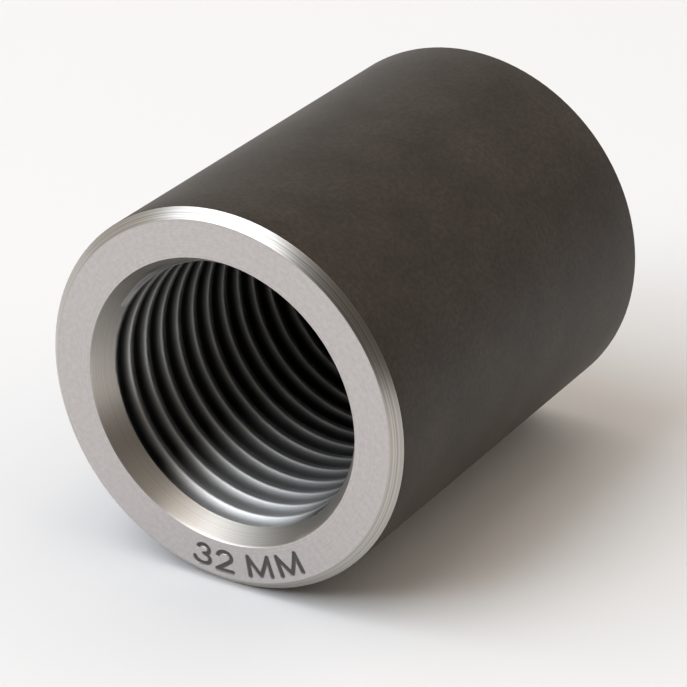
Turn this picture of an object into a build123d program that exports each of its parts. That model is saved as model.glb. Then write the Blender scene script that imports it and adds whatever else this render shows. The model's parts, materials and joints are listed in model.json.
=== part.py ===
from build123d import *
from build123d.topology import SkipClean
import os
from math import ceil, radians, tan

# Threaded sleeve that joins two 32 mm reinforcing bars end to end.
# It stands on one end: the bore runs up the Z axis and the origin is the centre of the lower end face.

# Sleeve, in millimetres
sleeve_length = 60.0
bar_diameter = 32.0
bar_clearance = 0.5  # between the bar and the crests of the thread
wall_thickness = 6.5  # behind the roots of the thread
edge_chamfer = 1.2  # on the outer rim of both ends, at 45 degrees

# Thread, a right-hand single start with narrow crests and wide, shallow grooves
thread_pitch = 3.4
thread_depth = 1.0
flank_angle = 108.0  # between the two flanks of the groove
thread_start = 2.85  # how far under the lower end the groove's centre line crosses the X axis

# Countersink that leads the bar into the thread, at both ends
countersink_margin = 0.7  # radial width of the countersink outside the thread
countersink_angle = 60.0  # between its two sides

# Room that the cutter keeps to run clear of the metal
cutter_overlap = 0.3

# Sizes that follow
crest_radius = bar_diameter / 2 + bar_clearance
root_radius = crest_radius + thread_depth
outer_radius = root_radius + wall_thickness
mouth_radius = root_radius + countersink_margin
countersink_depth = (mouth_radius - crest_radius) / tan(radians(countersink_angle / 2))

# The thread is cut a quarter turn at a time, from under the lower end to above the upper end
quarters = 4
quarter_angle = 360 / quarters
quarter_rise = thread_pitch / quarters
cutter_start = -thread_start - thread_pitch
quarter_count = ceil((sleeve_length + thread_pitch - cutter_start) / quarter_rise)

os.makedirs("parts", exist_ok=True)

# A quarter of the plain sleeve: its wall section, with chamfers outside and countersinks inside, turned round Z
with BuildPart() as plain_quarter:
    with BuildSketch(Plane.XZ):
        with BuildLine():
            Polyline(
                (crest_radius, countersink_depth),
                (mouth_radius, 0),
                (outer_radius - edge_chamfer, 0),
                (outer_radius, edge_chamfer),
                (outer_radius, sleeve_length - edge_chamfer),
                (outer_radius - edge_chamfer, sleeve_length),
                (mouth_radius, sleeve_length),
                (crest_radius, sleeve_length - countersink_depth),
                close=True,
            )
        make_face()
    revolve(axis=Axis.Z, revolution_arc=quarter_angle)

# A quarter turn of the groove: its V section, which starts inside the bore, carried along a helix
cutter_plane = Plane(origin=(0, 0, cutter_start), x_dir=(1, 0, 0), z_dir=(0, -1, 0))
cutter_radius = crest_radius - cutter_overlap
cutter_half_width = (root_radius - cutter_radius) * tan(radians(flank_angle / 2))
with BuildPart() as groove_quarter:
    with BuildLine() as helix:
        Helix(thread_pitch, quarter_rise, root_radius, center=cutter_plane.origin)
    with BuildSketch(cutter_plane):
        with BuildLine():
            Polyline(
                (cutter_radius, -cutter_half_width),
                (root_radius, 0),
                (cutter_radius, cutter_half_width),
                close=True,
            )
        make_face()
    sweep(path=helix.line, is_frenet=True)

# The sleeve: four quarters, which keep their own faces, less the groove's quarter turns
groove_places = [
    Location((0, 0, turn * quarter_rise), (0, 0, turn * quarter_angle))
    for turn in range(quarter_count)
]
with SkipClean(), BuildPart() as sleeve:
    with PolarLocations(0, quarters):
        add(plain_quarter.part)
    with Locations(groove_places):
        add(groove_quarter.part, mode=Mode.SUBTRACT)

sleeve.part.label = "coupler_sleeve"
export_step(sleeve.part, "parts/coupler_sleeve.step")
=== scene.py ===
import json
import bpy
import numpy as np
from mathutils import Matrix, Vector


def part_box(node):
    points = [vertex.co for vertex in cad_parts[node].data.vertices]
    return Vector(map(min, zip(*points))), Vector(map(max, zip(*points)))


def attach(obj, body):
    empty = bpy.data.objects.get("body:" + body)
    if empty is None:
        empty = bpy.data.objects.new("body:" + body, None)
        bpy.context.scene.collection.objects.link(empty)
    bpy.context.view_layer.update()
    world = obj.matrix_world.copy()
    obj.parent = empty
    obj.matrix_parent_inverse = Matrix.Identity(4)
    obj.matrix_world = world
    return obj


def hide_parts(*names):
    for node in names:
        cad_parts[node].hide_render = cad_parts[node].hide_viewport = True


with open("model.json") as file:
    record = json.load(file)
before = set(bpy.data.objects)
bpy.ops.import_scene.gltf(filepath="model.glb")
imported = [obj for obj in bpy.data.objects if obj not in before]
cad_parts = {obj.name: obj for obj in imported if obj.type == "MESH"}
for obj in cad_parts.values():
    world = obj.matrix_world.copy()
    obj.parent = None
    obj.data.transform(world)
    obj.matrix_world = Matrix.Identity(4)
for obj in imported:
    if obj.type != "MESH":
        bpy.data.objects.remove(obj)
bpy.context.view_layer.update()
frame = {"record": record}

mm = 0.001

# Sizes that the frame gives
sleeve_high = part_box("coupler_sleeve")[1]
sleeve_length = sleeve_high.z
outer_radius = sleeve_high.x
mounts = {mount["name"]: mount for mount in frame["record"]["mounts"]}
crest_radius = mounts["bar_thread_upper"]["dims"]["r_mm"] * mm

# Thread and end sizes, the same as the solid's
thread_pitch = 3.4 * mm
groove_width = 2.753 * mm
thread_start = 2.85 * mm  # how far under the lower end the groove's centre line crosses the X axis
countersink_width = 1.7 * mm  # from the crests to the mouth
countersink_slope = np.tan(np.radians(30))  # radius lost per depth
edge_chamfer = 1.2 * mm
mouth_radius = crest_radius + countersink_width

# Radii of the rounded edges and of the groove's root
rim_round = 0.12 * mm
mouth_round = 0.10 * mm
crest_round = 0.50 * mm
root_round = 1.90 * mm

# The groove is as wide as the solid's plain V, with steeper flanks and a wide round root
flank_tilt = np.radians(40)  # between a flank and the bore's axis
flank_meeting = crest_radius + groove_width / 2 * np.tan(flank_tilt)
root_radius = flank_meeting - root_round * (1 / np.cos(flank_tilt) - 1)

# The size mark on the upper end: a plain number and its unit, read from outside the ring
mark_height = 2.5 * mm
mark_base_radius = 21.98 * mm
mark_middle_radius = 20.7 * mm
mark_start = np.radians(124.9)
mark_half_stroke = 0.24 * mm
mark_depth = 0.14 * mm
mark_edge = 0.09 * mm  # width of a stroke's sloping sides

# Where the thread's low side gets painted light near the upper end, and where its lead takes the same bright
# colour all round, as depths under the upper end
low_light_full = 4 * mm
low_light_gone = 30 * mm
lead_full = 2 * mm
lead_gone = 3 * mm

# Fineness of the mesh
fine_lead = np.radians(2.5)  # from the first of the fine columns to the size mark
fine_sector = np.radians(46)
fine_columns = 132
coarse_columns = 110
marked_end_rows = 42
plain_end_rows = 8
rim_rows = 2
skin_rows = 10
edge_steps = 3
groove_steps = 4
stroke_steps = 16
spare_turns = 3  # of the thread beyond each end
sharp_turn = np.radians(33)  # edges that turn by more than this stay sharp

# Directions of the lying sleeve in the picture: it rests on the side that faces away from floor_up
floor_up = Vector((1, -1, 0)).normalized()
view_forward = Vector((0.01317, 0.64191, -0.76667)).normalized()
picture_right = view_forward.cross(floor_up).normalized()
floor_away = floor_up.cross(picture_right)

# Stage and camera, in metres unless a unit is given
floor_reach = 2.5
floor_gap = 0.03 * mm
card_gap = 0.5 * mm
card_corners = 48
camera_aim = Vector((-2.738, 2.767, 32.27)) * mm
camera_distance = 401.31 * mm
camera_lens = 172.05  # millimetres
camera_sensor = 36  # millimetres
camera_near = 0.01
camera_far = 20

# Zones of the sleeve's surface, in the order of their materials
SKIN, END, RIM, COUNTERSINK, THREAD = range(5)


# Shape of the sleeve

def spread(start, end, count):
    """Evenly spaced points strictly between two points of a section."""
    steps = np.linspace(0, 1, count + 2)[1:-1, None]
    return start + (end - start) * steps


def corner_arcs(corners, radii, steps):
    """Arcs that round the inner corners of a polyline.

    Each arc touches both sides at radius / tan(half the corner's angle) from the corner. Its centre is on
    the corner's bisector, and its points turn evenly from the first side to the second.
    """
    corner = corners[1:-1]
    back = corners[:-2] - corner
    ahead = corners[2:] - corner
    back /= np.linalg.norm(back, axis=1)[:, None]
    ahead /= np.linalg.norm(ahead, axis=1)[:, None]
    half = np.arccos(np.sum(back * ahead, axis=1)) / 2
    bisector = (back + ahead) / np.linalg.norm(back + ahead, axis=1)[:, None]
    centre = corner + bisector * (radii / np.sin(half))[:, None]
    start = corner + back * (radii / np.tan(half))[:, None] - centre
    end = corner + ahead * (radii / np.tan(half))[:, None] - centre
    turn = (np.pi - 2 * half)[:, None, None]
    share = np.linspace(0, 1, steps + 1)[None, :, None]
    blend = np.sin((1 - share) * turn) * start[:, None] + np.sin(share * turn) * end[:, None]
    return centre[:, None] + blend / np.sin(turn)


def shell_section():
    """Radius and height along the sleeve's outside, from the upper mouth round to the lower mouth.

    The corners of the wall's section are rounded, and straight stretches get rows of their own. Also
    gives the zone of each strip between two rows.
    """
    rim = outer_radius - edge_chamfer
    inside = mouth_radius - countersink_slope * edge_chamfer
    corners = np.array([
        (inside, sleeve_length - edge_chamfer),
        (mouth_radius, sleeve_length),
        (rim, sleeve_length),
        (outer_radius, sleeve_length - edge_chamfer),
        (outer_radius, edge_chamfer),
        (rim, 0),
        (mouth_radius, 0),
        (inside, edge_chamfer),
    ])
    radii = np.array([mouth_round, rim_round, rim_round, rim_round, rim_round, mouth_round])
    arcs = corner_arcs(corners, radii, edge_steps)
    stretches = [
        (END, marked_end_rows),
        (RIM, rim_rows),
        (SKIN, skin_rows),
        (RIM, rim_rows),
        (END, plain_end_rows),
    ]
    rows = []
    strips = []
    for arc, following, (zone, count) in zip(arcs[:-1], arcs[1:], stretches):
        rows += [arc, spread(arc[-1], following[0], count)]
        strips += [zone] * (len(arc) + count)
    rows.append(arcs[-1])
    strips += [END] * edge_steps
    return np.concatenate(rows), np.array(strips)


def column_angles():
    """Angles of the columns round the sleeve: close together under the size mark and wider elsewhere."""
    fine_start = mark_start - fine_lead
    fine_end = fine_start + fine_sector
    fine = np.linspace(fine_start, fine_end, fine_columns, endpoint=False)
    coarse = np.linspace(fine_end, fine_start + 2 * np.pi, coarse_columns, endpoint=False)
    return np.concatenate([fine, coarse])


def round_stroke(centre, radii, start, end):
    """Points on an ellipse's arc between two angles in degrees."""
    turn = np.radians(np.linspace(start, end, stroke_steps + 1))
    return np.stack([centre[0] + radii[0] * np.cos(turn), centre[1] + radii[1] * np.sin(turn)], axis=1)


def mark_strokes():
    """Centre lines of the size mark's strokes: distance along the ring and height from the base line.

    Two digits of arcs and straight lines, then a letter of four straight lines twice, drawn in millimetres.
    """
    height = mark_height / mm
    three = [
        round_stroke((0.94, 0.76 * height), (0.82, 0.24 * height), 165, -82),
        round_stroke((0.94, 0.26 * height), (1.04, 0.26 * height), 82, -165),
    ]
    two_bowl = round_stroke((1.02, 0.71 * height), (0.98, 0.29 * height), 168, -32)
    two = [np.concatenate([two_bowl, [(0.0, 0.0), (2.08, 0.0)]])]
    letter = [np.array([(0, 0), (0, height), (1.48, 0.04 * height), (2.96, height), (2.96, 0)])]
    glyphs = [(three, 0.0), (two, 2.96), (letter, 7.42), (letter, 11.82)]
    return [(line + (along, 0)) * mm for glyph, along in glyphs for line in glyph]


def distance_to_strokes(along, height):
    """Distance from points to the nearest stroke: the least of those to each straight piece of a stroke."""
    lines = mark_strokes()
    start = np.concatenate([line[:-1] for line in lines])
    reach = np.concatenate([np.diff(line, axis=0) for line in lines])
    point = np.stack([along, height], axis=-1)[..., None, :] - start
    share = np.sum(point * reach, axis=-1) / np.sum(reach * reach, axis=-1)
    nearest = np.clip(share, 0, 1)[..., None] * reach
    return np.min(np.linalg.norm(point - nearest, axis=-1), axis=-1)


def turned_points(radius, angle, z):
    """Points at a radius and an angle round Z: (r cos a, r sin a, z)."""
    return np.stack([radius * np.cos(angle), radius * np.sin(angle), z], axis=-1)


def turned_shell(angles):
    """The shell's section turned round Z, with the size mark pressed into the upper end.

    A stroke of the mark lies mark_depth low. Its sides ease in and out: at a share p of the way across them
    they are p p (3 - 2 p) of that depth. Also gives how far the mark stains each point, and the zone of each
    strip between two rows.
    """
    rows, strips = shell_section()
    radius = rows[:, :1] * np.ones(len(angles))
    z = rows[:, 1:] * np.ones(len(angles))
    along = (angles - mark_start) * mark_middle_radius * np.ones_like(radius)
    into_stroke = (mark_half_stroke - distance_to_strokes(along, mark_base_radius - radius)) / mark_edge
    upper_half = z > sleeve_length / 2
    press = np.clip(into_stroke + 0.5, 0, 1) * upper_half
    stain = np.clip(into_stroke + 1, 0, 1) * upper_half
    z = z - mark_depth * press * press * (3 - 2 * press)
    return turned_points(radius, angles, z), stain, strips


def groove_section():
    """Height and radius along one pitch of the thread, from the middle of one crest to the next.

    A V groove between two narrow crests, with its root and both of its edges rounded.
    """
    half_groove = groove_width / 2
    corners = np.array([
        (-thread_pitch / 2, crest_radius),
        (-half_groove, crest_radius),
        (0, flank_meeting),
        (half_groove, crest_radius),
        (thread_pitch / 2, crest_radius),
    ])
    arcs = corner_arcs(corners, np.array([crest_round, root_round, crest_round]), groove_steps)
    return np.concatenate([corners[:1], arcs.reshape(-1, 2)])


def sink_radius(z):
    """Radius of the nearer countersink's cone at a height."""
    return mouth_radius - countersink_slope * np.minimum(z, sleeve_length - z)


def threaded_bore(angles):
    """Points of the threaded bore on rows that climb one pitch per turn.

    Along a row the thread's radius stays the same. The radius is the larger of the thread's and the
    countersinks', and the row nearest to where these cross slides onto the crossing. Also gives how far the
    thread stands outside the countersink, and the number of rows in a pitch.
    """
    section = groove_section()
    turns = np.arange(-spare_turns, int(sleeve_length / thread_pitch) + spare_turns)
    heights = (section[:, 0] + thread_pitch * turns[:, None] - thread_start).ravel()
    radii = np.tile(section[:, 1], len(turns))
    climb = thread_pitch * angles / (2 * np.pi)

    row_heights = np.repeat(heights[:, None], len(angles), axis=1)
    apart = radii[:, None] - sink_radius(row_heights + climb)
    gap = apart[:-1] - apart[1:]
    share = np.divide(apart[:-1], gap, out=np.zeros_like(gap), where=gap != 0)
    crossing = row_heights[:-1] + share * np.diff(row_heights, axis=0)
    crosses = apart[:-1] * apart[1:] < 0
    row_heights[:-1] = np.where(crosses & (share < 0.5), crossing, row_heights[:-1])
    row_heights[1:] = np.where(crosses & (share >= 0.5), crossing, row_heights[1:])

    z = row_heights + climb
    thread_radius = np.interp(row_heights, heights, radii)
    radius = np.maximum(thread_radius, sink_radius(z))
    return turned_points(radius, angles, z), thread_radius - sink_radius(z), len(section)


def strip_triangles(lower, upper, lower_next, upper_next):
    """Two triangles for each cell of a grid, from the indices of its four corners."""
    first = np.stack([lower, lower_next, upper_next], axis=-1)
    second = np.stack([lower, upper_next, upper], axis=-1)
    return np.stack([first, second], axis=-2).reshape(-1, 3)


def sleeve_mesh():
    """The whole sleeve as one closed surface: the turned shell and the threaded bore.

    Bore points beyond a mouth become the shell's mouth row, and cells left with no area are dropped. After
    a full turn each row of the bore meets the row one pitch above it. Also gives the zone of each triangle,
    and how far the size mark stains each point.
    """
    angles = column_angles()
    shell, stain, strips = turned_shell(angles)
    index = np.arange(stain.size).reshape(stain.shape)
    after = np.roll(index, -1, axis=1)
    shell_faces = strip_triangles(index[1:], index[:-1], after[1:], after[:-1])
    shell_zones = np.repeat(strips, 2 * len(angles))

    bore, apart, pitch_rows = threaded_bore(angles)
    bore_height = bore[..., 2]
    upper_mouth, lower_mouth = shell[0, 0, 2], shell[-1, 0, 2]
    bore_index = index.size + np.arange(apart.size).reshape(apart.shape)
    bore_index = np.where(bore_height >= upper_mouth, index[0], bore_index)
    bore_index = np.where(bore_height <= lower_mouth, index[-1], bore_index)
    here = bore_index[:-pitch_rows]
    there = np.concatenate([here[:, 1:], bore_index[pitch_rows:, :1]], axis=1)
    bore_faces = strip_triangles(here[:-1], here[1:], there[:-1], there[1:])[:, ::-1]
    has_area = np.all(bore_faces != np.roll(bore_faces, 1, axis=1), axis=1)
    bore_faces = bore_faces[has_area]
    thread_side = np.concatenate([np.full(index.size, -1.0), apart.ravel()])
    in_thread = thread_side[bore_faces].mean(axis=1) > 0
    bore_zones = np.where(in_thread, THREAD, COUNTERSINK)

    points = np.concatenate([shell.reshape(-1, 3), bore.reshape(-1, 3)])
    stained = np.concatenate([stain.ravel(), np.zeros(apart.size)])
    zones = np.concatenate([shell_zones, bore_zones])
    kept, faces = np.unique(np.concatenate([shell_faces, bore_faces]), return_inverse=True)
    return points[kept], faces.reshape(-1, 3), zones, stained[kept]


def add_object(name, data):
    """An object at the origin of the scene, with its mesh, lamp or camera."""
    thing = bpy.data.objects.new(name, data)
    bpy.context.scene.collection.objects.link(thing)
    return thing


def put_mesh(name, points, faces):
    """A mesh object from arrays of points and triangles."""
    mesh = bpy.data.meshes.new(name)
    mesh.vertices.add(len(points))
    mesh.vertices.foreach_set("co", points.astype(np.float32).ravel())
    mesh.loops.add(faces.size)
    mesh.loops.foreach_set("vertex_index", faces.astype(np.int32).ravel())
    mesh.polygons.add(len(faces))
    mesh.polygons.foreach_set("loop_start", np.arange(0, faces.size, 3, dtype=np.int32))
    mesh.update(calc_edges=True)
    mesh.validate()
    return add_object(name, mesh)


# Tools for the materials

def set_inputs(node, inputs):
    """Sets a node's inputs to values, or links them to other nodes' outputs."""
    for key, value in inputs.items():
        if isinstance(value, bpy.types.NodeSocket):
            node.id_data.links.new(value, node.inputs[key])
        else:
            node.inputs[key].default_value = value


def add_node(tree, kind, inputs, **settings):
    """A node with its settings and inputs."""
    node = tree.nodes.new(kind)
    for name, value in settings.items():
        setattr(node, name, value)
    set_inputs(node, inputs)
    return node


def start_material(name):
    """A new material and its surface shader."""
    material = bpy.data.materials.new(name)
    material.use_nodes = True
    return material, material.node_tree.nodes["Principled BSDF"]


def object_place(tree):
    """The point on the object, in metres."""
    return add_node(tree, "ShaderNodeTexCoord", {}).outputs["Object"]


def axis_distance(tree):
    """Distance of the point from the bore's axis."""
    flat = add_node(tree, "ShaderNodeVectorMath", {0: object_place(tree), 1: (1, 1, 0)}, operation="MULTIPLY")
    return add_node(tree, "ShaderNodeVectorMath", {0: flat.outputs[0]}, operation="LENGTH").outputs["Value"]


def axis_height(tree):
    """Height of the point along the bore's axis."""
    return add_node(tree, "ShaderNodeSeparateXYZ", {0: object_place(tree)}).outputs["Z"]


def dot_product(tree, vector, direction):
    """How far a vector reaches along a direction."""
    node = add_node(tree, "ShaderNodeVectorMath", {0: vector, 1: direction}, operation="DOT_PRODUCT")
    return node.outputs["Value"]


def work_out(tree, operation, *values):
    """The result of one sum on values and other nodes' outputs."""
    return add_node(tree, "ShaderNodeMath", dict(enumerate(values)), operation=operation).outputs[0]


def run_between(tree, value, start, end, first=0.0, last=1.0, course="LINEAR"):
    """Runs from first to last as the value goes from start to end, and stays there beyond them."""
    return add_node(
        tree,
        "ShaderNodeMapRange",
        {"Value": value, "From Min": start, "From Max": end, "To Min": first, "To Max": last},
        interpolation_type=course,
    ).outputs[0]


def speckle(tree, size, detail=2.0):
    """Cloudy noise of about that grain size, from 0 to 1."""
    return add_node(
        tree, "ShaderNodeTexNoise", {"Vector": object_place(tree), "Scale": 1 / size, "Detail": detail}
    ).outputs["Fac"]


def tool_lines(tree, distance, spacing):
    """Lines of uneven depth that a cutting tool leaves, as noise along one distance."""
    return add_node(
        tree,
        "ShaderNodeTexNoise",
        {"W": distance, "Scale": 1 / spacing, "Detail": 2.0},
        noise_dimensions="1D",
    ).outputs["Fac"]


def colour_ramp(tree, factor, stops):
    """A colour that runs through the stops, each a place from 0 to 1 and a colour, as the factor rises."""
    node = add_node(tree, "ShaderNodeValToRGB", {"Fac": factor})
    elements = node.color_ramp.elements
    while len(elements) < len(stops):
        elements.new(1.0)
    for element, (place, colour) in zip(elements, stops):
        element.position = place
        element.color = (*colour, 1)
    return node.outputs["Color"]


def tone(tree, noise, dark, light):
    """A colour that runs from dark to light over the middle range of a noise."""
    return colour_ramp(tree, noise, [(0.3, dark), (0.7, light)])


def mix_colours(tree, factor, first, second, blend_type="MIX"):
    """The second colour laid over the first by a factor. Inputs 6 and 7 and output 2 are the colours."""
    inputs = {"Factor": factor, 6: first, 7: second}
    return add_node(tree, "ShaderNodeMix", inputs, data_type="RGBA", blend_type=blend_type).outputs[2]


def relief(tree, noise, depth):
    """The surface's direction when a noise raises it by up to a depth."""
    return add_node(tree, "ShaderNodeBump", {"Height": noise, "Distance": depth, "Strength": 1.0}).outputs[0]


# Materials of the sleeve

def dark_skin():
    """Dark satin scale outside: warm grey-brown with a fine grain and faint clouds."""
    material, shader = start_material("dark_skin")
    tree = material.node_tree
    cloud_noise = speckle(tree, size=7 * mm, detail=3.0)
    clouds = tone(tree, cloud_noise, dark=(0.021, 0.0140, 0.0083), light=(0.035, 0.0258, 0.0172))
    grain = tone(tree, speckle(tree, size=0.55 * mm), dark=(0.68, 0.68, 0.68), light=(1.32, 1.32, 1.32))
    set_inputs(shader, {
        "Base Color": mix_colours(tree, 1.0, clouds, grain, blend_type="MULTIPLY"),
        "Roughness": 0.48,
        "Specular IOR Level": 0.28,
        "Normal": relief(tree, speckle(tree, size=0.4 * mm), depth=0.018 * mm),
    })
    return material


def turned_end():
    """Bright turned steel on the ends: fine rings from the tool, a faint grain, and the size mark in dark."""
    material, shader = start_material("turned_end")
    tree = material.node_tree
    rings = tool_lines(tree, axis_distance(tree), spacing=0.10 * mm)
    ringed = tone(tree, rings, dark=(0.485, 0.456, 0.446), light=(0.55, 0.522, 0.516))
    grain_noise = speckle(tree, size=0.6 * mm)
    grain = tone(tree, grain_noise, dark=(0.925, 0.92, 0.917), light=(1.045, 1.045, 1.045))
    steel = mix_colours(tree, 1.0, ringed, grain, blend_type="MULTIPLY")
    stain = add_node(tree, "ShaderNodeAttribute", {}, attribute_name="size_mark").outputs["Fac"]
    stain_colour = (0.055, 0.05, 0.047, 1)
    set_inputs(shader, {
        "Base Color": mix_colours(tree, stain, steel, stain_colour),
        "Metallic": work_out(tree, "SUBTRACT", 1.0, stain),
        "Roughness": 0.36,
        "Normal": relief(tree, rings, depth=0.003 * mm),
    })
    return material


def lined_steel(name, distance, spacing, dark, light, roughness, depth):
    """Bright bare steel with lines from the tool, spaced along the distance that a function gives."""
    material, shader = start_material(name)
    tree = material.node_tree
    lines = tool_lines(tree, distance(tree), spacing)
    set_inputs(shader, {
        "Base Color": tone(tree, lines, dark, light),
        "Metallic": 1.0,
        "Roughness": roughness,
        "Normal": relief(tree, lines, depth),
    })
    return material


def turned_rim():
    """Bright turned steel on the chamfers, with lines from the tool round the rim."""
    return lined_steel(
        "turned_rim",
        axis_distance,
        spacing=0.16 * mm,
        dark=(0.33, 0.306, 0.278),
        light=(0.52, 0.495, 0.46),
        roughness=0.30,
        depth=0.004 * mm,
    )


def countersink_steel():
    """Bright cut steel in the countersinks, with lines from the tool round the cone."""
    return lined_steel(
        "countersink_steel",
        axis_height,
        spacing=0.14 * mm,
        dark=(0.45, 0.419, 0.379),
        light=(0.54, 0.509, 0.469),
        roughness=0.38,
        depth=0.005 * mm,
    )


def thread_steel():
    """Cut steel of the thread with painted shade in the groove: bright at the crests, darker down the flanks
    and black at the root.

    Its low side near the upper end, which faces the light coming in at the mouth, gets painted light in a
    bright colour, and its lead in the upper countersink takes that colour all round, without the painted
    shade.
    """
    material, shader = start_material("thread_steel")
    tree = material.node_tree
    distance = axis_distance(tree)
    height = axis_height(tree)
    # Painted shade: the colour darkens with depth into the groove, from the crests to a black root
    painted_groove_shade = colour_ramp(tree, run_between(tree, distance, crest_radius, root_radius), [
        (0.0, (0.60, 0.595, 0.585)),
        (0.15, (0.53, 0.525, 0.515)),
        (0.45, (0.24, 0.235, 0.226)),
        (0.85, (0.075, 0.073, 0.07)),
        (1.0, (0.04, 0.039, 0.037)),
    ])
    lowness = work_out(tree, "DIVIDE", dot_product(tree, object_place(tree), -floor_up), distance)
    low = run_between(tree, lowness, 0.72, 0.98, course="SMOOTHSTEP")
    near = run_between(tree, height, sleeve_length - low_light_gone, sleeve_length - low_light_full)
    lead = run_between(tree, height, sleeve_length - lead_gone, sleeve_length - lead_full)
    # Painted light: the low side near the upper end faces the light that comes in at the mouth, so it is
    # given a brighter colour
    painted_low_light = work_out(tree, "MULTIPLY", low, near)
    painted_light_and_lead = work_out(tree, "MAXIMUM", painted_low_light, lead)
    # The bright colour of the painted light, which the lead in the upper countersink also takes all round
    painted_light_and_lead_colour = (0.84, 0.84, 0.83, 1)
    set_inputs(shader, {
        "Base Color": mix_colours(tree, painted_light_and_lead, painted_groove_shade, painted_light_and_lead_colour),
        "Metallic": 1.0,
        "Roughness": run_between(tree, painted_low_light, 0.0, 1.0, first=0.42, last=0.56),
        "Normal": relief(tree, speckle(tree, size=0.25 * mm), depth=0.004 * mm),
    })
    return material


# The sleeve

points, faces, zones, stained = sleeve_mesh()
sleeve = put_mesh("threaded_sleeve", points, faces)
for finish in (dark_skin, turned_end, turned_rim, countersink_steel, thread_steel):
    sleeve.data.materials.append(finish())
sleeve.data.polygons.foreach_set("material_index", zones.astype(np.int32))
mark = sleeve.data.attributes.new("size_mark", "FLOAT", "POINT")
mark.data.foreach_set("value", stained.astype(np.float32))
sleeve.data.polygons.foreach_set("use_smooth", np.ones(len(zones), dtype=bool))
sleeve.data.set_sharp_from_angle(angle=sharp_turn)
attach(sleeve, "root")
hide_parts("coupler_sleeve")


# Stage: a pale floor under the lying sleeve, a dark card behind its bore, soft lamps and the camera

def stage_place(right, up, away):
    """A place round the sleeve's middle: to the picture's right, up from the floor and away along it."""
    middle = Vector((0, 0, sleeve_length / 2))
    return middle + picture_right * right + floor_up * up + floor_away * away


def flat_sheet(name, corners):
    """A flat piece of the stage. It faces the side from which its corners run anticlockwise."""
    mesh = bpy.data.meshes.new(name)
    mesh.from_pydata(corners, [], [range(len(corners))])
    return add_object(name, mesh)


def pale_floor():
    """A wide square just under the lying sleeve's side, seen only from above."""
    under_sleeve = stage_place(0, -outer_radius - floor_gap, 0)
    sides = floor_reach * np.array([(-1, -1), (1, -1), (1, 1), (-1, 1)])
    floor = flat_sheet("pale_floor", np.array(under_sleeve) + sides @ np.array([picture_right, floor_away]))
    material, shader = start_material("pale_floor")
    tree = material.node_tree
    set_inputs(shader, {
        "Base Color": (0.83, 0.832, 0.836, 1),
        "Roughness": 0.9,
        "Specular IOR Level": 0.1,
    })
    behind = add_node(tree, "ShaderNodeNewGeometry", {}).outputs["Backfacing"]
    clear = add_node(tree, "ShaderNodeBsdfTransparent", {})
    seen = add_node(tree, "ShaderNodeMixShader", {0: behind, 1: shader.outputs[0], 2: clear.outputs[0]})
    set_inputs(tree.nodes["Material Output"], {"Surface": seen.outputs[0]})
    floor.data.materials.append(material)
    # Light from under the floor passes through it
    floor.visible_shadow = False


def dark_card():
    """A black disc just behind the far mouth, unseen by the camera, that keeps light out of the bore."""
    turn = np.linspace(0, 2 * np.pi, card_corners, endpoint=False)
    height = np.full_like(turn, -card_gap)
    card = flat_sheet("dark_card", turned_points(mouth_radius + edge_chamfer, turn, height))
    material, shader = start_material("dark_card")
    set_inputs(shader, {"Base Color": (0.01, 0.01, 0.01, 1), "Specular IOR Level": 0.0})
    card.data.materials.append(material)
    card.visible_camera = False


def soft_lamp(name, place, size, power, colour):
    """A square lamp that faces the sleeve, at a place to the right, up and away in metres."""
    light = bpy.data.lights.new(name, "AREA")
    light.shape = "SQUARE"
    light.size = size
    light.energy = power
    light.color = colour
    lamp = add_object(name, light)
    lamp.location = stage_place(*place)
    lamp.rotation_mode = "QUATERNION"
    lamp.rotation_quaternion = (stage_place(0, 0, 0) - stage_place(*place)).to_track_quat("-Z", "Y")


def soft_world():
    """A plain studio round the stage: a pale far wall, dimmer sides and a dark room behind the camera."""
    world = bpy.data.worlds.new("studio")
    world.use_nodes = True
    tree = world.node_tree
    way = add_node(tree, "ShaderNodeTexCoord", {}).outputs["Generated"]
    ahead = work_out(tree, "MULTIPLY_ADD", dot_product(tree, way, view_forward), 0.5, 0.5)
    walls = colour_ramp(tree, ahead, [
        (0.12, (0.10, 0.086, 0.074)),
        (0.34, (0.54, 0.472, 0.405)),
        (0.90, (0.75, 0.745, 0.74)),
    ])
    set_inputs(tree.nodes["Background"], {"Color": walls, "Strength": 1.0})
    bpy.context.scene.world = world


def picture_camera():
    """The camera of the picture: level with the floor, looking down into the bore."""
    camera = bpy.data.cameras.new("picture_camera")
    camera.sensor_width = camera_sensor
    camera.lens = camera_lens
    camera.clip_start = camera_near
    camera.clip_end = camera_far
    holder = add_object("picture_camera", camera)
    back = -view_forward
    turned = Matrix((picture_right, back.cross(picture_right), back)).transposed()
    holder.matrix_world = Matrix.Translation(camera_aim + back * camera_distance) @ turned.to_4x4()
    bpy.context.scene.camera = holder


pale_floor()
dark_card()
soft_lamp("key_from_left", (-1.90, 2.20, -0.60), size=2.6, power=56, colour=(0.90, 1.02, 1.16))
soft_lamp("key_from_front_left", (-1.75, 1.75, -1.50), size=1.2, power=16, colour=(1.02, 0.99, 0.96))
soft_lamp("top", (-0.30, 1.55, -0.10), size=1.2, power=5.0, colour=(1.05, 0.97, 0.89))
soft_lamp("fill_from_right", (1.00, 1.60, 0.00), size=2.0, power=6.6, colour=(1.0, 0.87, 0.72))
soft_lamp("fill_from_under", (-0.55, -0.85, 0.05), size=0.8, power=3.2, colour=(1.0, 0.99, 0.97))
soft_world()
picture_camera()

bpy.context.scene.view_settings.view_transform = "Standard"
